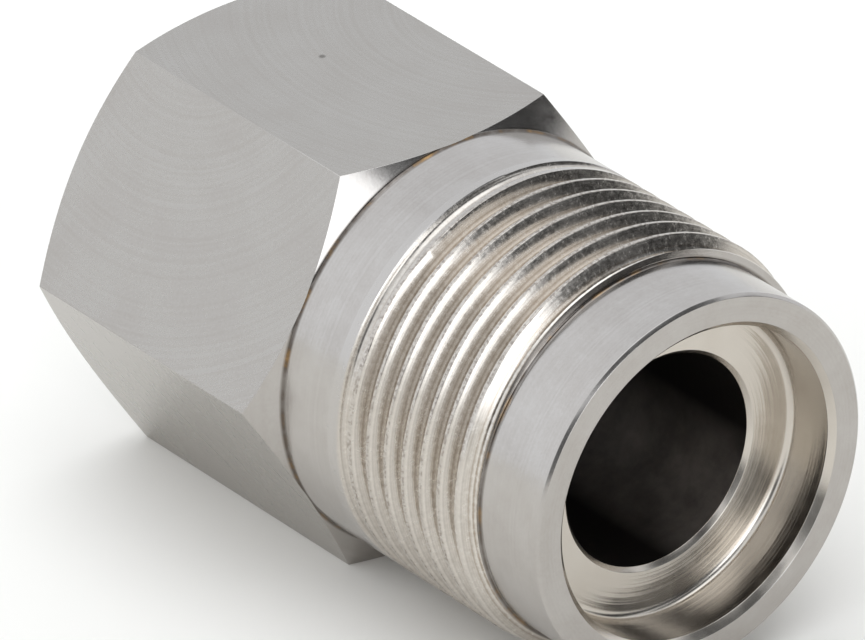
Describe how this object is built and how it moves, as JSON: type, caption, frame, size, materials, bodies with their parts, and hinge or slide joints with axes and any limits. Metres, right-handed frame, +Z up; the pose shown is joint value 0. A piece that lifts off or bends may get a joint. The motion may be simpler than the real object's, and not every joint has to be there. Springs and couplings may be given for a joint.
{
  "type": "hex nipple",
  "caption": "Hex nipple turned from one bar: chamfered hexagon, plain collar, male thread, and a plain nose with a counterbored through bore.",
  "frame": {"origin": "on the surface the part lies on, under the middle of the part: centre of the underside of its box", "axes": "+X along the bore axis towards the nose, +Z up, square to the hexagon flat that the part lies on"},
  "size_m": [0.0404, 0.0278, 0.024],
  "materials": {
    "nickel_steel": "satin nickel plating over turned and milled steel"
  },
  "bodies": {
    "root": {"nipple_body": "nickel_steel"}
  },
  "joints": []
}
